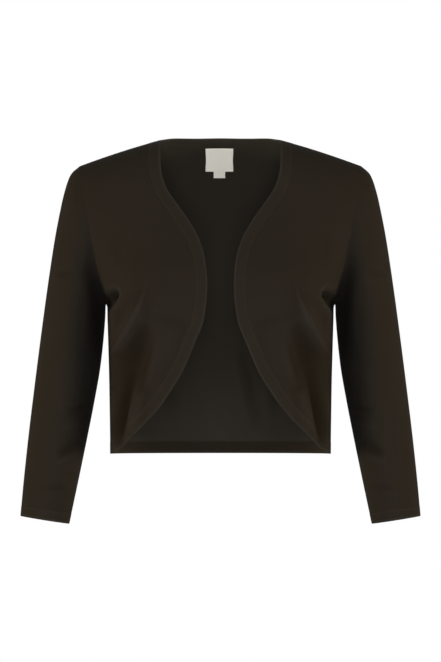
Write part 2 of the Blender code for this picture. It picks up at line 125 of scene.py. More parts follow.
def side_point(level):
    """Points on the armhole above the underarm, and on the side seam below it."""
    part = np.abs(level)
    turn = np.pi * np.minimum(part, 1)
    down = (1 - np.cos(turn)) / 2
    drop = between(PIT_DROP, HEM_DROP, part - 1)
    reach = np.where(level < 0, -ARMHOLE_AHEAD, ARMHOLE_BEHIND)
    above = part <= 1
    x = np.where(above, between(TIP_X, PIT_X, down) + ARMHOLE_BOW * np.sin(turn),
                 SIDE.at(drop)["half_width"])
    z = np.where(above, -between(TIP_DROP, PIT_DROP, down), -drop)
    return np.stack([x, np.where(above, reach * np.sin(turn), 0.0), z], -1)


def body_point(across, level):
    """Points of the cloth, from the side at 0 to the middle at 1, on the rows of some levels."""
    t, level = np.broadcast_arrays(np.asarray(across, float), np.asarray(level, float))
    row = BODY.at(level)
    near = np.stack([row["near_x"], row["near_y"], row["near_z"]], -1)
    far = np.stack([row["far_x"], row["far_y"], row["far_z"]], -1)
    middle = np.stack([0 * t, row["middle_y"], row["middle_z"]], -1)
    t = t[..., None]
    u = 1 - t
    return u ** 3 * side_point(level) + 3 * t * u * u * near + 3 * t * t * u * far + t ** 3 * middle


def across_at(x, level):
    """Places along rows where the cloth reaches x."""
    x, level = np.broadcast_arrays(np.asarray(x, float), np.asarray(level, float))
    low = np.zeros(x.shape)
    high = np.ones(x.shape)
    for _ in range(22):
        middle = (low + high) / 2
        outside = body_point(middle, level)[..., 0] > x
        low = np.where(outside, middle, low)
        high = np.where(outside, high, middle)
    return (low + high) / 2


def locate(x, wanted, axis, face):
    """Across and level of the cloth at x, where its y or z (axis 1 or 2) has a wanted value."""
    x, wanted = np.broadcast_arrays(np.asarray(x, float), np.asarray(wanted, float))
    low = np.zeros(x.shape)
    high = np.full(x.shape, 2.0)
    for _ in range(22):
        level = (low + high) / 2
        value = body_point(across_at(x, face * level), face * level)[..., axis]
        before = value > wanted if axis == 2 else face * value < face * wanted
        low = np.where(before, level, low)
        high = np.where(before, high, level)
    level = face * (low + high) / 2
    return np.stack([across_at(x, level), level], -1)


def slopes_at(places, face):
    """Points and slopes of the cloth at some places; steps stay on one side of the shoulder."""
    step = 0.002
    across, level = places[..., 0], places[..., 1]
    here = body_point(across, level)
    sideways = np.where(across < 0.5, step, -step)
    along = (body_point(across + sideways, level) - here) / sideways[..., None]
    down = (body_point(across, level + face * step) - here) / (face * step)
    return here, along, down


def even_places(places, parts):
    """Places along a path on the cloth, at parts of its real length."""
    points = body_point(places[:, 0], places[:, 1])
    length = np.concatenate([[0], np.cumsum(np.linalg.norm(np.diff(points, axis=0), axis=1))])
    length /= length[-1]
    return np.stack([np.interp(parts, length, places[:, k]) for k in (0, 1)], -1)


def moved_in(places, width, face, towards):
    """The path moved over the cloth by a width, to the side of the path that towards names."""
    tangents = np.gradient(body_point(places[:, 0], places[:, 1]), axis=0)
    here, along, down = slopes_at(places, face)
    inward = np.cross(np.cross(along, down), tangents)
    inward /= np.linalg.norm(inward, axis=1)[:, None]
    inward *= np.where(inward @ np.array(towards) < 0, -1.0, 1.0)[:, None]
    goal = here + width * inward
    spot = places.copy()
    for _ in range(5):
        now, along, down = slopes_at(spot, face)
        gap = goal - now
        aa, dd, ad = (along * along).sum(1), (down * down).sum(1), (along * down).sum(1)
        ga, gd = (gap * along).sum(1), (gap * down).sum(1)
        spread = np.maximum(aa * dd - ad * ad, 1e-6)
        spot[:, 0] = np.clip(spot[:, 0] + (ga * dd - gd * ad) / spread, 0.0, 1.0)
        spot[:, 1] = face * np.clip(face * (spot[:, 1] + (gd * aa - ga * ad) / spread), 0.0, 2.0)
    return spot


def band_seam(edge, face, towards, end):
    """The seam a band's width inside an edge, from the shoulder seam to a given end."""
    seam = moved_in(edge, BAND_WIDTH, face, towards)
    edge_point = body_point(*edge[0])
    x = NECK_HALF_WIDTH + BAND_WIDTH
    for _ in range(8):
        spot = body_point(across_at(x, 0.0), 0.0)
        x += BAND_WIDTH - np.linalg.norm(spot - edge_point)
    seam[0] = (across_at(x, 0.0), 0.0)
    seam[-1] = end
    return seam


def coons(left, right, top, bottom, b, a):
    """Grid of places inside four edges; rows run from left to right, columns downwards."""
    b = b[:, None, None]
    a = a[None, :, None]
    sides = (1 - a) * left[:, None] + a * right[:, None] + (1 - b) * top[None] + b * bottom[None]
    corners = (1 - a) * (1 - b) * left[0] + a * (1 - b) * right[0]
    return sides - corners - (1 - a) * b * left[-1] - a * b * right[-1]


def halved(grid):
    """The grid with a line added midway between each two."""
    for _ in range(2):
        finer = np.repeat(grid, 2, axis=0)[:-1]
        finer[1::2] = (grid[:-1] + grid[1:]) / 2
        grid = finer.swapaxes(0, 1)
    return grid


def spaced(length, step):
    """Parts of a length about a step apart, with closer lines beside the seams at both ends."""
    beside = np.array((0.0, 0.35, 0.8, 1.5))
    inside = np.linspace(2.6, length - 2.6, max(int(round((length - 5.2) / step)), 1) + 1)
    return np.concatenate([beside, inside, length - beside[::-1]]) / length


# Fineness of the cloth: lines along the armhole, side seam, shoulder and neck
armhole = spaced(ARMHOLE_LENGTH, 3.0)
side = spaced(SIDE_LENGTH, 3.0)
shoulder = spaced(SHOULDER_LENGTH, 2.8)
neck = np.linspace(0, 1, 31)
band_lines = spaced(BAND_WIDTH, 2.0)
last_level = 1 + (HEM_DROP - BAND_WIDTH - PIT_DROP) / (HEM_DROP - PIT_DROP)
levels = np.concatenate([armhole, between(1.0, last_level, side)[1:]])

# Front edge as the front view shows it, x and z from the shoulder seam round to the side seam
FRONT_EDGE = (
    (81.8, -12.0), (80.6, -36.0), (73.5, -62.0), (60.5, -82.0), (44.0, -105.5), (30.0, -130.0),
    (21.3, -157.0), (17.7, -195.0), (22.5, -241.0), (36.0, -277.0), (51.5, -313.0), (64.5, -334.5),
    (81.0, -358.5), (97.0, -377.0), (123.0, -402.6), (136.8, -416.5), (149.1, -424.0),
)
UNDERARM_PART = 0.43
CORNER_PART = 0.97

ridge = np.array((across_at(NECK_HALF_WIDTH, 0.0), 0.0))
drawn = np.array(((NECK_HALF_WIDTH, body_point(*ridge)[2]),) + FRONT_EDGE)
chord = np.concatenate([[0], np.cumsum(np.linalg.norm(np.diff(drawn, axis=0), axis=1))])
spots = Table("chord x z", np.column_stack([chord, drawn])).at(
    chord[-1] * (1 - np.cos(np.linspace(0, math.pi, 110)[1:-1])) / 2)
front_edge = np.vstack([ridge, locate(spots["x"], spots["z"], 2, -1), (0.0, -2.0)])
front_seam = band_seam(front_edge, -1, (1.0, 0.0, 0.5), (0.0, -last_level))
beside_seam = np.concatenate([UNDERARM_PART * armhole, between(UNDERARM_PART, CORNER_PART, side[1:]),
                              between(CORNER_PART, 1.0, shoulder[1:])])
front_seam = even_places(front_seam, beside_seam)
front_edge = even_places(front_edge, beside_seam)
downwards = np.concatenate([armhole * ARMHOLE_LENGTH, ARMHOLE_LENGTH + side[1:] * SIDE_LENGTH])
downwards /= ARMHOLE_LENGTH + SIDE_LENGTH
rows = len(levels)
shoulder_row = np.stack([shoulder * front_seam[0, 0], 0 * shoulder], -1)
side_column = np.stack([0 * levels, levels], -1)
front_places = coons(side_column * (1, -1), front_seam[:rows], shoulder_row,
                     front_seam[rows - 1:][::-1], downwards, shoulder)

# The back's upper edge runs along the shoulder seam and then round the neck, an oval from above
round_neck = np.linspace(0, math.pi / 2, 40)[1:]
neck_edge = np.vstack([ridge, locate(NECK_HALF_WIDTH * np.cos(round_neck),
                                     NECK_BEHIND * np.sin(round_neck), 1, 1)])
neck_edge[-1, 0] = 1.0
lower = neck_edge[-1, 1] + 0.0005 * np.arange(1000)
fall = np.linalg.norm(body_point(1.0, lower) - body_point(*neck_edge[-1]), axis=1)
neck_level = lower[np.argmax(fall >= BAND_WIDTH)]
neck_seam = even_places(band_seam(neck_edge, 1, (1.0, 1.0, -1.0), (1.0, neck_level)), neck)
neck_edge = even_places(neck_edge, neck)
across_back = np.concatenate([shoulder * 2 / 3, 2 / 3 + neck[1:] / 3])
hem_seam = np.stack([across_back, 0 * across_back + last_level], -1)
middle_column = np.stack([1 + 0 * downwards, between(neck_level, last_level, downwards)], -1)
back_places = coons(side_column, middle_column, np.vstack([shoulder_row, neck_seam[1:]]),
                    hem_seam, downwards, across_back)


def strip(seam, edge):
    """Grid of places for a band, from its seam to its edge."""
    return seam[None] + (edge - seam)[None] * band_lines[:, None, None]


places = {
    "front": halved(front_places),
    "front_band": halved(strip(front_seam, front_edge)),
    "back": back_places,
    "neck_band": strip(neck_seam, neck_edge),
    "hem_band": strip(hem_seam, np.stack([across_back, 0 * across_back + 2.0], -1)),
}

# Rings of the sleeve, from the armhole to the edge of the cuff: where each ring meets the
# outer and the inner outline, half its depth and how far behind the side seam it lies
SLEEVE = Table("along outer_x outer_z inner_x inner_z half_depth behind", (
    (0, 191.0, -33.5, 156.0, -219.0, 48.5, 1.5),
    (15, 202.6, -44.3, 156.9, -223.0, 49.0, 2.0),
    (35, 212.0, -70.5, 157.1, -228.5, 49.5, 2.0),
    (58, 217.3, -94.0, 157.3, -236.0, 50.0, 2.0),
    (94, 223.9, -128.0, 158.2, -249.0, 51.0, 2.0),
    (153, 233.0, -187.0, 160.3, -273.0, 51.0, 2.0),
    (225, 242.8, -258.4, 164.0, -305.0, 49.5, 3.0),
    (313, 253.9, -345.4, 173.3, -358.0, 45.0, 4.0),
    (357, 259.2, -389.0, 181.8, -401.0, 43.0, 3.0),
    (401, 264.0, -432.5, 190.5, -443.5, 40.0, 0.0),
    (445, 268.3, -476.0, 199.5, -486.5, 37.0, -5.0),
    (478, 271.0, -508.5, 206.4, -518.8, 35.0, -9.0),
))
CAP_BLEND = 120.0
CUFF_BAND = 14.0


def sleeve_rings(along):
    """Rings of the sleeve from the underarm seam, round the back and the front to it again."""
    row = {name: value[:, None, None] for name, value in SLEEVE.at(along).items()}
    start = {name: float(value) for name, value in SLEEVE.at(0).items()}
    ring_levels = np.concatenate([armhole[::-1], -armhole[1:]])
    turn = (-np.pi * ring_levels)[None, :, None]
    cos, sin = np.cos(turn), np.sin(turn)
    x, y, z = np.eye(3)
    outer = row["outer_x"] * x + row["outer_z"] * z
    inner = row["inner_x"] * x + row["inner_z"] * z
    rings = (outer + inner) / 2 + (outer - inner) / 2 * cos + (row["behind"] - row["half_depth"] * sin) * y
    oval = ((start["outer_x"] + start["inner_x"] + (start["outer_x"] - start["inner_x"]) * cos) / 2 * x
            + (start["behind"] - start["half_depth"] * sin) * y
            + (start["outer_z"] + start["inner_z"] + (start["outer_z"] - start["inner_z"]) * cos) / 2 * z)
    left_over = np.maximum(0.0, 1 - along / CAP_BLEND)[:, None, None] ** 2
    return rings + left_over * (side_point(ring_levels)[None] - oval)


cuff_start = float(SLEEVE.keys[-1]) - CUFF_BAND
half = {name: body_point(grid[..., 0], grid[..., 1]) for name, grid in places.items()}
half["sleeve"] = sleeve_rings(cuff_start * spaced(cuff_start, 3.0))
half["cuff"] = sleeve_rings(cuff_start + CUFF_BAND * spaced(CUFF_BAND, 2.0))

# Both halves: pairs for the fronts, their bands and the sleeves, whole pieces at the back
TO_RIGHT = np.array((-1.0, 1.0, 1.0))
cloth = {}
for name in ("front", "front_band", "sleeve", "cuff"):
    cloth[name + "_left"] = half[name]
    cloth[name + "_right"] = half[name] * TO_RIGHT
for name in ("back", "neck_band", "hem_band"):
    cloth[name] = np.concatenate([half[name], (half[name] * TO_RIGHT)[:, -2::-1]], axis=1)


def shared_normals(pieces):
    """Outward normals of all the pieces, the same where pieces meet."""
    points = []
    pushes = []
    for name, grid in pieces.items():
        middle = grid.mean(axis=1, keepdims=True) if "sleeve" in name or "cuff" in name else (0, 0, -200)
        corners = [grid[:-1, :-1], grid[:-1, 1:], grid[1:, 1:], grid[1:, :-1]]
        push = np.cross(corners[2] - corners[0], corners[3] - corners[1])
        if (push * (grid - middle)[:-1, :-1]).sum() < 0:
            push = -push
        push /= np.sqrt(np.linalg.norm(push, axis=2, keepdims=True)) + 1e-9
        points += [corner.reshape(-1, 3) for corner in corners]
        pushes += [push.reshape(-1, 3)] * 4
    keys = np.round(np.concatenate(points) * 500).astype(np.int64) + 500000
    keys = keys @ np.array((1, 1 << 20, 1 << 40))
    pushes = np.concatenate(pushes)
    known, index = np.unique(keys, return_inverse=True)
    total = np.stack([np.bincount(index, pushes[:, k], len(known)) for k in range(3)], -1)
    total /= np.linalg.norm(total, axis=1, keepdims=True) + 1e-12
    normals = {}
    for name, grid in pieces.items():
        keys = (np.round(grid * 500).astype(np.int64) + 500000) @ np.array((1, 1 << 20, 1 << 40))
        normals[name] = total[np.searchsorted(known, keys)]
        if name.startswith("front"):
            for rim in (normals[name][0], normals[name][-1], normals[name][:, 0], normals[name][:, -1]):
                rim[1::2] = (rim[:-1:2] + rim[2::2]) / 2
                rim /= np.linalg.norm(rim, axis=1, keepdims=True)
    return normals


# Folds that wearing leaves: the zone and side they lie on, their path in the front view, their
# half widths towards the middle and away from it, and how far they stand out or, below zero, in
FOLDS = (
    ("body", -1, (106, -206), (126, -256), (150, -288), (13, 13), 3.0),
    ("body", -1, (98, -236), (121, -296), (137, -384), (19, 19), -4.0),
    ("body", -1, (62, -238), (78, -285), (104, -345), (17, 17), 1.5),
    ("body", 1, (150, -214), (112, -262), (58, -292), (16, 16), -2.5),
    ("body", 1, (146, -300), (96, -340), (40, -352), (20, 20), -2.5),
    ("body", 1, (150, -118), (128, -160), (118, -216), (15, 15), -2.0),
    ("sleeve", -1, (175, -138), (169, -228), (175, -322), (11, 11), -2.4),
    ("sleeve", -1, (190, -396), (206, -418), (226, -432), (9, 9), -2.5),
    ("sleeve", -1, (182, -372), (200, -386), (222, -392), (9, 9), 1.5),
    ("sleeve", 1, (176, -140), (170, -228), (178, -320), (12, 12), -3.0),
    ("sleeve", 1, (186, -388), (214, -402), (246, -398), (10, 10), -2.5),
    ("sleeve", 1, (192, -424), (220, -436), (252, -432), (9, 9), -2.0),
)

# Smaller creases: a crisp edge under the bust with its pocket, the nip at the underarm, the
# soft rings at the elbow and over the cuff, and like ones on the back of the body and sleeves
CREASES = (
    ("body", -1, (102, -190), (121, -249), (157, -298), (9, 14), 2.4),
    ("body", -1, (97, -178), (121, -249), (166, -306), (2.4, 2.6), 0.9),
    ("body", -1, (94, -216), (113, -290), (134, -404), (14, 18), -1.8),
    ("body", -1, (116, -292), (134, -372), (140, -424), (7, 9), -9.5),
    ("body", -1, (104, -330), (115, -366), (124, -402), (9, 7), 2.0),
    ("body", -1, (135, -202), (148, -214), (157, -240), (5, 7), -16.0),
    ("body", -1, (152, -222), (146, -246), (146, -276), (6, 6), 1.2),
    ("body", -1, (90, -258), (98, -300), (117, -352), (6, 6), -0.8),
    ("body", -1, (146, -330), (148, -362), (147, -398), (5, 5), 1.0),
    ("body", -1, (152, -112), (142, -150), (140, -186), (9, 9), -0.4),
    ("body", 1, (152, -226), (128, -246), (88, -262), (6, 6), 1.0),
    ("body", 1, (146, -252), (116, -280), (70, -302), (6, 6), -1.1),
    ("body", 1, (150, -322), (122, -344), (86, -362), (7, 7), 1.0),
    ("body", 1, (148, -352), (124, -366), (98, -388), (6, 6), -1.0),
    ("body", 1, (140, -150), (132, -182), (134, -222), (6, 6), 0.9),
    ("body", 1, (104, -120), (98, -170), (104, -214), (9, 9), -0.8),
    ("back left", 1, (22, -262), (38, -338), (52, -412), (9, 9), -1.6),
    ("back left", 1, (66, -300), (60, -350), (70, -404), (7, 7), 1.0),
    ("sleeve", -1, (170, -210), (166, -262), (171, -318), (5, 5), -1.2),
    ("sleeve", -1, (170, -140), (186, -258), (202, -356), (14, 24), -0.6),
    ("sleeve", -1, (181, -170), (180, -232), (186, -300), (6, 6), 0.9),
    ("sleeve", -1, (196, -172), (212, -180), (226, -176), (6, 6), -0.7),
    ("sleeve", -1, (178, -350), (192, -362), (214, -366), (5, 5), -0.9),
    ("sleeve", -1, (190, -408), (208, -428), (230, -440), (5, 5), 0.9),
    ("sleeve", -1, (205, -462), (222, -470), (244, -466), (5, 5), -0.6),
    ("sleeve", 1, (172, -268), (190, -284), (216, -290), (6, 6), -0.9),
    ("sleeve", 1, (182, -372), (206, -384), (240, -380), (5, 5), 1.1),
    ("sleeve", 1, (188, -406), (212, -418), (248, -416), (5, 5), 1.0),
    ("sleeve", 1, (196, -446), (218, -454), (240, -450), (5, 5), -0.8),
    ("sleeve", 1, (192, -160), (206, -176), (222, -178), (7, 7), -0.8),
)

# The armhole seam holds the cloth still over this width beside it
HELD_WIDTH = 15.0

# The knit's loose fibres give it a pale gloss. Painted light on its points changes it: painted shade
# lowers the gloss and the colour in a hollow, the gloss to about a third at this depth, and a painted
# highlight raises the gloss along sharp ridges, band seams and free edges, over this width.
SHADE_DEPTH = 5.0
RIDGE_HIGHLIGHT = 2.0
EDGE_HIGHLIGHT = 1.5
SEAM_HIGHLIGHT = 0.35
LINE_WIDTH = 2.4


def fold_height(points, normals, folds, zone):
    """How far the folds of a zone move the cloth out at some points."""
    height = np.zeros(len(points))
    flat = np.stack([np.abs(points[:, 0]), points[:, 2]], -1)
    t = np.linspace(0, 1, 61)[:, None]
    for fold_zone, face, start, via, end, half_widths, depth in folds:
        if fold_zone != zone:
            continue
        bend = 2 * np.array(via, float) - (np.array(start) + np.array(end)) / 2
        path = (1 - t) ** 2 * np.array(start) + 2 * t * (1 - t) * bend + t * t * np.array(end)
        reach = 3 * max(half_widths)
        inside = (flat > path.min(0) - reach).all(1) & (flat < path.max(0) + reach).all(1)
        near = np.flatnonzero(inside & (face * normals[:, 1] > 0))
        gaps = np.linalg.norm(path[None] - flat[near][:, None], axis=2)
        nearest = np.argmin(gaps, axis=1)
        fade = np.sin(math.pi * np.clip(1.15 * t[nearest, 0] - 0.075, 0, 1)).clip(0) ** 1.4
        facing = np.clip(3 * face * normals[near, 1], 0, 1)
        half_width = np.where(flat[near, 0] < path[nearest, 0], half_widths[0], half_widths[1])
        height[near] += depth * facing * fade * np.exp(-(gaps.min(axis=1) / half_width) ** 2)
    return height


def steps(grid, axis):
    """Length over the cloth from the first line of a grid, down it or across it."""
    length = np.cumsum(np.linalg.norm(np.diff(grid, axis=axis), axis=2), axis=axis)
    return np.insert(length, 0, 0.0, axis=axis)


def smoothed(values, reach):
    """The values averaged over the lines within reach on each side."""
    for _ in range(2):
        padded = np.pad(values, ((reach, reach), (0, 0)), mode="edge")
        values = np.mean([padded[k:k + len(values)] for k in range(2 * reach + 1)], axis=0).T
    return values


seam_line = side_point(np.linspace(-1, 1, 81))
painted_light = {}
bare_normals = shared_normals(cloth)
for name, grid in cloth.items():
    points = grid.reshape(-1, 3)
    sideways = bare_normals[name].reshape(-1, 3)
    zone = "sleeve" if "sleeve" in name or "cuff" in name else "body"
    height = fold_height(points, sideways, FOLDS + CREASES, zone)
    if name == "back":
        height += fold_height(points, sideways, CREASES, "back left") * (points[:, 0] > 0)
    depth = height.reshape(grid.shape[:2])
    mirrored = np.abs(points) * (1, 0, 0) + points * (0, 1, 1)
    gap = np.concatenate([np.linalg.norm(part[:, None] - seam_line[None], axis=2).min(axis=1)
                          for part in np.array_split(mirrored, 12)])
    held = np.clip(gap / HELD_WIDTH, 0, 1)
    height *= held * held * (3 - 2 * held)
    cloth[name] = (points + sideways * height[:, None]).reshape(grid.shape)
    # Painted light from the fold depths: painted shade in the hollows, painted highlight on crests and
    # along band and cuff seams and free edges
    lines = 4 if name.startswith("front") else 2
    crest = np.clip(depth - smoothed(depth, lines), -0.1, 0.6)
    hollow = np.minimum(smoothed(depth, lines // 2), 0)
    painted_light[name] = np.exp(hollow / SHADE_DEPTH) * (1 + RIDGE_HIGHLIGHT * crest * lines / 4)
    if "band" in name or "cuff" in name:
        painted_light[name] *= (1 + EDGE_HIGHLIGHT * np.exp(-(steps(grid[::-1], 0)[::-1] / LINE_WIDTH) ** 2)
                        + SEAM_HIGHLIGHT * np.exp(-(steps(grid, 0) / LINE_WIDTH) ** 2))
normals = shared_normals(cloth)


# Back panel
# One piece of fine viscose and nylon knit, plain stitch: smooth upright chains outside, small
# level bumps inside. It is knitted near black with a brown cast and has a soft, low sheen. Its
# colour is painted darker in folds as shade, down to half of it at the bottom of a deep fold.
FACE_COLOUR = "#130e07"
FACE_DARK = "#110c05"
# The inside is lighter than the face: partly the hazier reverse side of the knit, partly painted light for
# the inside of the garment, which the lamps reach less
INSIDE_COLOUR = "#29241b"
INSIDE_DARK = "#252018"
KNIT_ROUGH = 0.82
WALE_MM = 1.3
COURSE_MM = 1.0
PANEL_WALL = 1.6
KNIT_SHEEN = 0.01
KNIT_GLOSS = 0.3
HOLLOW_SHADE = 0.5


def linear(hex_colour):
    """A colour for the shader, from its sRGB hex value."""
    levels = [int(hex_colour[i:i + 2], 16) / 255 for i in (1, 3, 5)]
    return [v / 12.92 if v <= 0.04045 else ((v + 0.055) / 1.055) ** 2.4 for v in levels] + [1.0]


def add_node(material, kind, settings, links):
    """A node in a material or world with its settings, and links of socket to node and output."""
    node = material.node_tree.nodes.new(kind)
    for key, value in settings.items():
        if isinstance(key, str) and hasattr(node, key):
            setattr(node, key, value)
        else:
            node.inputs[key].default_value = value
    for key, (source, output) in links.items():
        material.node_tree.links.new(source.outputs[output], node.inputs[key])
    return node


def knit_material(name, colour, dark, wale, course, inside, rough, gloss=KNIT_GLOSS):
    """Plain knit: the face has upright chains of slanted stitches, the inside level bumps."""
    made = bpy.data.materials.new(name)
    made.use_nodes = True
    shader = made.node_tree.nodes["Principled BSDF"]
    shader.inputs["Metallic"].default_value = 0.0
    shader.inputs["IOR"].default_value = 1.5
    shader.inputs["Sheen Weight"].default_value = KNIT_SHEEN
    shader.inputs["Sheen Roughness"].default_value = 0.45
    # The painted shade and highlight kept on the points of each piece
    pale = add_node(made, "ShaderNodeAttribute", {"attribute_name": "painted_light"}, {})

    def math_node(operation, first, second=None, third=None):
        settings = {"operation": operation}
        links = {}
        for socket, value in enumerate((first, second, third)):
            if isinstance(value, tuple):
                links[socket] = value
            elif value is not None:
                settings[socket] = value
        return add_node(made, "ShaderNodeMath", settings, links), 0

    # The gloss follows that painted light: lower in hollows as painted shade, higher on ridges, seams and
    # free edges as painted highlight
    painted_gloss = math_node("MULTIPLY", (pale, "Fac"), gloss)
    made.node_tree.links.new(painted_gloss[0].outputs[0], shader.inputs["Specular IOR Level"])
    knit_map = add_node(made, "ShaderNodeUVMap", {"uv_map": "knit"}, {})
    split = add_node(made, "ShaderNodeSeparateXYZ", {}, {0: (knit_map, "UV")})
    across = math_node("MULTIPLY", (split, "X"), 1000.0 / wale)
    down = math_node("MULTIPLY", (split, "Y"), 1000.0 / course)
    half_wale = math_node("PINGPONG", across, 0.5)
    if inside:
        level = math_node("SINE", math_node("MULTIPLY", down, 2 * math.pi))
        bumps = math_node("COSINE", math_node("MULTIPLY", across, 2 * math.pi))
        stitch = math_node("MULTIPLY_ADD", bumps, 0.3, math_node("MULTIPLY", level, 0.7))
    else:
        legs = math_node("SINE", math_node("MULTIPLY", half_wale, 2 * math.pi))
        slant = math_node("MULTIPLY_ADD", half_wale, 1.3, down)
        stroke = math_node("SINE", math_node("MULTIPLY", slant, 2 * math.pi))
        stitch = math_node("MULTIPLY_ADD", stroke, 0.35, legs)
    place = add_node(made, "ShaderNodeTexCoord", {}, {})
    cloudy = add_node(made, "ShaderNodeTexNoise", {"Scale": 26.0, "Detail": 3.0, "Roughness": 0.6},
                      {"Vector": (place, "Object")})
    fuzz = add_node(made, "ShaderNodeTexNoise", {"Scale": 900.0, "Detail": 2.0},
                    {"Vector": (place, "Object")})
    # The colour varies at random over the cloth and is a little darker in the grooves between the stitches,
    # which is painted shade
    shade = math_node("MULTIPLY_ADD", stitch, 0.18, math_node("MULTIPLY_ADD", (cloudy, 0), 0.5, 0.25))
    colour_at = add_node(made, "ShaderNodeMix", {"data_type": "RGBA", 6: linear(dark), 7: linear(colour)},
                         {0: shade})
    # Painted shade: the colour is darkened in hollows, down to HOLLOW_SHADE of it in the deepest
    raised = math_node("MULTIPLY_ADD", math_node("MINIMUM", (pale, "Fac"), 1.0), 1 - HOLLOW_SHADE,
                       HOLLOW_SHADE)
    colour_at = add_node(made, "ShaderNodeMix", {"data_type": "RGBA", 6: linear("#000000")},
                         {0: raised, 7: (colour_at, 2)})
    made.node_tree.links.new(colour_at.outputs[2], shader.inputs["Base Color"])
    dull = math_node("MULTIPLY_ADD", (fuzz, 0), 0.12, rough - 0.06)
    made.node_tree.links.new(dull[0].outputs[0], shader.inputs["Roughness"])
    height = math_node("MULTIPLY_ADD", (fuzz, 0), 0.5, stitch)
    bump = add_node(made, "ShaderNodeBump", {"Strength": 0.35, "Distance": 0.0002}, {"Height": height})
    made.node_tree.links.new(bump.outputs[0], shader.inputs["Normal"])
    return made


def shell(name, wall, ends, sides, stitches, materials):
    """Closed cloth wall of a piece. Each side names how far the wall thins there and over what."""
    grid = cloth[name].copy()
    out = normals[name]
    around = sides is None
    gaps = [steps(grid, 0), steps(grid[::-1], 0)[::-1]]
    rules = list(ends)
    if not around:
        gaps += [steps(grid, 1), steps(grid[:, ::-1], 1)[:, ::-1]]
        rules += list(sides)
    thin = np.zeros(grid.shape[:2])
    for gap, (loss, radius) in zip(gaps, rules):
        near = 1 - np.minimum(gap / radius, 1)
        thin = np.maximum(thin, loss * (1 - np.sqrt(1 - near * near)))
    for rim, inner, axis in ((0, 1, 0), (-1, -2, 0), (0, 1, 1), (-1, -2, 1)):
        if axis == 1 and around:
            continue
        line = grid[rim] if axis == 0 else grid[:, rim]
        inside = grid[inner] if axis == 0 else grid[:, inner]
        normal = out[rim] if axis == 0 else out[:, rim]
        inward = np.cross(normal, np.gradient(line, axis=0))
        inward /= np.linalg.norm(inward, axis=1, keepdims=True) + 1e-12
        inward *= np.sign((inward * (inside - line)).sum(axis=1, keepdims=True))
        line += inward * SEAM_GAP / 2
    half_wall = (wall / 2 * (1 - thin))[..., None]
    points = np.stack([grid + out * half_wall, grid - out * half_wall])
    count = grid.shape[0] * grid.shape[1]
    index = np.arange(count).reshape(grid.shape[:2])
    if around:
        points = points[:, :, :-1]
        count = points.shape[1] * points.shape[2]
        index = np.arange(count).reshape(points.shape[1:3])
        index = np.concatenate([index, index[:, :1]], axis=1)
    own = np.arange(grid.shape[0] * grid.shape[1]).reshape(grid.shape[:2])

    def quads(table):
        return np.stack([table[:-1, :-1], table[:-1, 1:], table[1:, 1:], table[1:, :-1]], -1).reshape(-1, 4)

    faces = [quads(index), quads(index)[:, ::-1] + count]
    marks = [quads(own), quads(own)[:, ::-1]]
    loops = [(index[0], own[0]), (index[-1][::-1], own[-1][::-1])]
    if not around:
        loops += [(index[::-1, 0], own[::-1, 0]), (index[:, -1], own[:, -1])]
    for loop, mark in loops:
        faces.append(np.stack([loop[1:], loop[:-1], loop[:-1] + count, loop[1:] + count], -1))
        marks.append(np.stack([mark[1:], mark[:-1], mark[:-1], mark[1:]], -1))
    inside_faces = len(faces[0])
    faces = np.concatenate(faces)
    marks = np.concatenate(marks)
    points = points.reshape(-1, 3) * 0.001
    corners = points[faces]
    turn = np.cross(corners[:, 2] - corners[:, 0], corners[:, 3] - corners[:, 1])
    if (turn * corners[:, 0]).sum() < 0:
        faces = faces[:, ::-1]
        marks = marks[:, ::-1]
    mesh = bpy.data.meshes.new(name + "_knit")
    mesh.from_pydata(points, [], faces.tolist())
    mesh.uv_layers.new(name="knit")
    mesh.uv_layers["knit"].data.foreach_set("uv", stitches.reshape(-1, 2)[marks.ravel()].ravel() * 0.001)
    slots = np.zeros(len(faces), np.int32)
    slots[inside_faces:2 * inside_faces] = 1
    mesh.polygons.foreach_set("material_index", slots)
    # The painted shade and highlight go onto the points as an attribute
    if name in painted_light:
        pale = painted_light[name][:, :-1] if around else painted_light[name]
        mesh.attributes.new("painted_light", "FLOAT", "POINT")
        mesh.attributes["painted_light"].data.foreach_set("value", np.tile(pale.ravel(), 2).astype(np.float32))
    mesh.polygons.foreach_set("use_smooth", np.ones(len(faces), bool))
    mesh.validate()
    mesh.set_sharp_from_angle(angle=math.radians(62))
    for material in materials:
        mesh.materials.append(material)
    piece = bpy.data.objects.new(name + "_knit", mesh)
    bpy.context.scene.collection.objects.link(piece)
    return piece


# How far the wall thins at a sewn and at a free edge, and over what width
SEAM = (0.16, 1.6)
FREE = (0.75, 1.2)
CHAIN_X = 149.0
FINE = 120
dense_across = np.linspace(0, 1, FINE + 1)
dense_level = np.linspace(0, 2, 2 * FINE + 1)


def body_stitches(grid, face):
    """Where each point lies in the flat panel in mm: across it, from the middle of the back or from
    CHAIN_X on a front, so that the chains stand upright, and down it."""
    dense = body_point(dense_across[None], face * dense_level[:, None])
    across = steps(dense, 1)
    if face > 0:
        across -= across[:, -1:]
    else:
        across -= np.array([[np.interp(-CHAIN_X, -row[:, 0], length)]
                            for row, length in zip(dense, across)])
    down = steps(dense[:, FINE // 2:FINE // 2 + 1], 0)[:, 0]
    i = np.clip(np.abs(grid[..., 1]) * FINE, 0, 2 * FINE - 0.001)
    j = np.clip(grid[..., 0] * FINE, 0, FINE - 0.001)
    low, left = i.astype(int), j.astype(int)
    a, b = i - low, j - left
    u = ((1 - a) * ((1 - b) * across[low, left] + b * across[low, left + 1])
         + a * ((1 - b) * across[low + 1, left] + b * across[low + 1, left + 1]))
    return np.stack([u, -np.interp(i, np.arange(2 * FINE + 1), down)], -1)


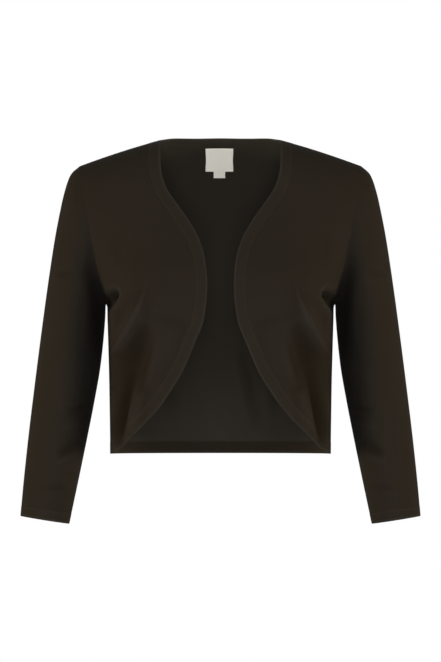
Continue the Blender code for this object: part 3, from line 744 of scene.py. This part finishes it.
face_knit = knit_material("fine viscose knit, face", FACE_COLOUR, FACE_DARK, WALE_MM, COURSE_MM, False,
                          KNIT_ROUGH)
inside_knit = knit_material("fine viscose knit, inside", INSIDE_COLOUR, INSIDE_DARK, WALE_MM, COURSE_MM,
                            True, KNIT_ROUGH)
half_back = body_stitches(places["back"], 1)
whole_back = np.concatenate([half_back, (half_back * (-1, 1))[:, -2::-1]], axis=1)
back = shell("back", PANEL_WALL, (SEAM, SEAM), (SEAM, SEAM), whole_back, (face_knit, inside_knit))
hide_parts("back")
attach(back, "root")

# Fronts
# A mirrored pair in the same knit, cut away in one curve from the neck to the side seam.
for hand, turn in (("left", 1), ("right", -1)):
    panel = shell("front_" + hand, PANEL_WALL, (SEAM, SEAM), (SEAM, SEAM),
                  body_stitches(places["front"], -1) * (turn, 1), (face_knit, inside_knit))
    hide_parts("front_" + hand)
    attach(panel, "root")

# Sleeves
# Two set-in sleeves to just below the elbow, each one piece joined along the underarm, so the
# chains hang from the top of the arm and are cut off on both sides of that seam.
ARM_LEAN = (0.16, 0.0, -0.987)


def tube_stitches(grid, turn):
    """Where each point lies in the flat sleeve: across it from the top of the arm, and down it."""
    across = steps(grid, 1)
    across -= across[:, len(armhole) - 1][:, None]
    down = steps(grid, 0) + (grid[:1] * (ARM_LEAN[0] * turn, ARM_LEAN[1], ARM_LEAN[2])).sum(axis=2)
    return np.stack([across, -down], -1)


for hand, turn in (("left", 1), ("right", -1)):
    name = "sleeve_" + hand
    sleeve = shell(name, PANEL_WALL, (SEAM, SEAM), None,
                   tube_stitches(cloth[name], turn), (face_knit, inside_knit))
    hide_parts(name + "_front_upper", name + "_front_lower", name + "_back")
    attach(sleeve, "root")

# Cuffs
# A narrow double band of the same yarn, knitted closer and linked to the end of each sleeve. It
# shows its face on both sides; the inner side of the hem band has painted shade, darker and less glossy.
BAND_WALL = 2.0
BAND_WALE_MM = 1.1
BAND_COURSE_MM = 0.9
band_knit = knit_material("linked band knit, face", "#140f08", "#120d06", BAND_WALE_MM, BAND_COURSE_MM,
                          False, 0.8)
band_inside = knit_material("linked band knit, inside", INSIDE_COLOUR, INSIDE_DARK, BAND_WALE_MM,
                            BAND_COURSE_MM, False, 0.8)
# Painted shade: the inner side of the hem band is darker and less glossy than the rest of the inside
hem_inside = knit_material("linked hem band knit, inside", "#211b12", "#1d170f", BAND_WALE_MM,
                           BAND_COURSE_MM, False, 0.8, KNIT_GLOSS - 0.16)
for hand, turn in (("left", 1), ("right", -1)):
    name = "cuff_" + hand
    cuff = shell(name, BAND_WALL, (SEAM, FREE), None,
                 tube_stitches(cloth[name], turn), (band_knit, band_inside))
    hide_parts(name)
    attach(cuff, "root")


# Front, neck and hem bands
# The same double band edges both fronts, the back neck and the back hem. Its stitches run across
# it, so its chains stand upright to the edge that they finish.


def band_stitches(grid):
    """Where each point lies in the flat band: along it, and down it from its seam."""
    middle = grid.shape[0] // 2
    along = steps(grid[middle:middle + 1], 1) + 0 * grid[..., 0]
    return np.stack([along, -steps(grid, 0)], -1)


for name, flat in (("front_band_left", (0.56, 0.016)), ("front_band_right", (0.56, 0.016)),
                   ("neck_band", (0.20, 0.016)), ("hem_band", (0.40, 0.016))):
    band = shell(name, BAND_WALL, (SEAM, FREE), (SEAM, SEAM), band_stitches(cloth[name]),
                 (band_knit, hem_inside if name == "hem_band" else band_inside))
    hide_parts(name)
    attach(band, "root")

# Label and size tab
# A cream damask-woven label, blank, folded under at its ends, with a small tab of the same ribbon
# hanging from under its lower edge.
LABEL_WIDTH = 38.0
LABEL_HEIGHT = 31.0
LABEL_WALL = 0.8
TAB_WIDTH = 16.0
TAB_HEIGHT = 9.0
LABEL_SIDE = -1.5
LABEL_LIFT = 0.5
FOLDED = (0.5, 0.4)


def ribbon_on_back(top, height, width, wave):
    """Grid and normals of a ribbon sewn on the inner side of the back, with slightly wavy sides."""
    across = np.linspace(-1, 1, 49)[None]
    down = np.linspace(0, 1, 41)[:, None]
    waist = 1 - wave * np.sin(math.pi * down) ** 2 / width
    x = LABEL_SIDE - width / 2 * across * waist
    z = top - height * down - wave * 0.5 * (1 - across ** 2) * (down - 0.5)
    place = locate(np.maximum(np.abs(x), 0.01), z, 2, 1)
    here, along, low = slopes_at(place, 1)
    outward = np.cross(low, along)
    outward /= np.linalg.norm(outward, axis=2, keepdims=True)
    mirror = np.where(x > 0, 1.0, -1.0)[..., None] * (1, 0, 0) + np.array((0.0, 1.0, 1.0))
    outward = outward * mirror
    curl = 0.5 * wave * (down[..., None] * np.abs(across)[..., None]) ** 3
    away = PANEL_WALL / 2 + LABEL_LIFT + LABEL_WALL / 2 + curl
    return here * mirror - outward * away, outward


label_top = float(cloth["neck_band"][0, cloth["neck_band"].shape[1] // 2, 2])
woven = bpy.data.materials.new("cream damask ribbon")
woven.use_nodes = True
shader = woven.node_tree.nodes["Principled BSDF"]
shader.inputs["Roughness"].default_value = 0.62
shader.inputs["Specular IOR Level"].default_value = 0.3
ribbon_map = add_node(woven, "ShaderNodeUVMap", {"uv_map": "knit"}, {})
warp = add_node(woven, "ShaderNodeTexWave", {"Scale": 420.0, "Distortion": 0.6, "Detail": 1.0,
                "bands_direction": "DIAGONAL"}, {"Vector": (ribbon_map, "UV")})
weft = add_node(woven, "ShaderNodeTexWave", {"Scale": 520.0, "Distortion": 0.3, "bands_direction": "Y"},
                {"Vector": (ribbon_map, "UV")})
threads = add_node(woven, "ShaderNodeMath", {"operation": "MULTIPLY_ADD", 1: 0.6},
                   {0: (warp, 1), 2: (weft, 1)})
threads_colour = add_node(woven, "ShaderNodeMix", {"data_type": "RGBA", 6: linear("#efece0"),
                          7: linear("#f8f6ec")}, {0: (threads, 0)})
woven.node_tree.links.new(threads_colour.outputs[2], shader.inputs["Base Color"])
raised = add_node(woven, "ShaderNodeBump", {"Strength": 0.4, "Distance": 0.0001}, {"Height": (threads, 0)})
woven.node_tree.links.new(raised.outputs[0], shader.inputs["Normal"])
for name, top, height, width, wave, cut in (
        ("label", label_top, LABEL_HEIGHT, LABEL_WIDTH, 1.2, (0.038, 0.031)),
        ("size_tab", label_top - LABEL_HEIGHT, TAB_HEIGHT, TAB_WIDTH, 0.5, (0.016, 0.010))):
    cloth[name], normals[name] = ribbon_on_back(top, height, width, wave)
    grid = cloth[name]
    flat_map = np.stack([steps(grid, 1), -steps(grid, 0)], -1)
    ribbon = shell(name, LABEL_WALL, (FOLDED, FOLDED), (FOLDED, FOLDED), flat_map, (woven, woven))
    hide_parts(name)
    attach(ribbon, "root")

# Room
# A pale paper floor in a white studio, with broad soft lights before, above, behind and on both
# sides of the garment. The paper is lit evenly far out, as a long sweep of it would be.
FLOOR_SIZE = 24.0
FLOOR_Z = -1.36
bpy.ops.mesh.primitive_plane_add(size=FLOOR_SIZE, location=(0, 0, 0))
floor = bpy.context.active_object
floor.name = "floor"
for corner in floor.data.vertices:
    corner.co.z = FLOOR_Z
paper = bpy.data.materials.new("matt white paper")
paper.use_nodes = True
shader = paper.node_tree.nodes["Principled BSDF"]
shader.inputs["Base Color"].default_value = linear("#d8d6d2")
shader.inputs["Roughness"].default_value = 0.9
shader.inputs["Emission Color"].default_value = linear("#e4e2de")
glow = add_node(paper, "ShaderNodeMath", {"operation": "MULTIPLY", 1: 0.8},
                {0: (paper.node_tree.nodes.new("ShaderNodeLightPath"), "Is Camera Ray")})
paper.node_tree.links.new(glow.outputs[0], shader.inputs["Emission Strength"])
floor.data.materials.append(paper)
floor.visible_glossy = False

# The studio is white to the eye and lights the knit softly, with little gloss
world = bpy.data.worlds.new("white studio")
world.use_nodes = True
backdrop = world.node_tree.nodes["Background"]
backdrop.inputs["Color"].default_value = (1, 1, 1, 1)
seen = world.node_tree.nodes.new("ShaderNodeLightPath")
dimmer = add_node(world, "ShaderNodeMapRange", {"To Min": 0.24, "To Max": 0.1},
                  {"Value": (seen, "Is Glossy Ray")})
brighter = add_node(world, "ShaderNodeMath", {"operation": "MAXIMUM"},
                    {0: (seen, "Is Camera Ray"), 1: (dimmer, 0)})
world.node_tree.links.new(brighter.outputs[0], backdrop.inputs["Strength"])
bpy.context.scene.world = world
for name, place, size, watts in (("front light", (0.0, -5.6, -0.7), 1.2, 50.0),
                                 ("top light", (0.0, -4.4, 1.6), 2.0, 48.0),
                                 ("left light", (3.7, -1.5, 0.0), 1.6, 430.0),
                                 ("right light", (-3.7, -1.5, 0.0), 1.6, 430.0),
                                 ("back light", (0.0, 5.2, 0.5), 1.6, 110.0)):
    lamp = bpy.data.lights.new(name, "AREA")
    lamp.shape = "DISK"
    lamp.size = size
    lamp.energy = watts
    light = bpy.data.objects.new(name, lamp)
    light.location = place
    light.visible_camera = False
    light.visible_glossy = name not in ("left light", "right light")
    bpy.context.scene.collection.objects.link(light)
    aim = np.array((0.0, 0.0, -0.25)) - np.array(place)
    light.rotation_euler = (math.atan2(math.hypot(aim[0], aim[1]), -aim[2]), 0,
                            math.atan2(aim[1], aim[0]) + math.pi * 1.5)

# The photo was taken straight from the front, from far away
camera = bpy.data.cameras.new("camera")
camera.sensor_fit = "HORIZONTAL"
camera.sensor_width = 36.0
camera.lens = 840.3
camera.clip_end = 100.0
eye = bpy.data.objects.new("camera", camera)
eye.location = (0.0, -14.0, -0.257)
eye.rotation_euler = (math.pi / 2, 0, 0)
bpy.context.scene.collection.objects.link(eye)
bpy.context.scene.camera = eye
bpy.context.scene.view_settings.view_transform = "Standard"
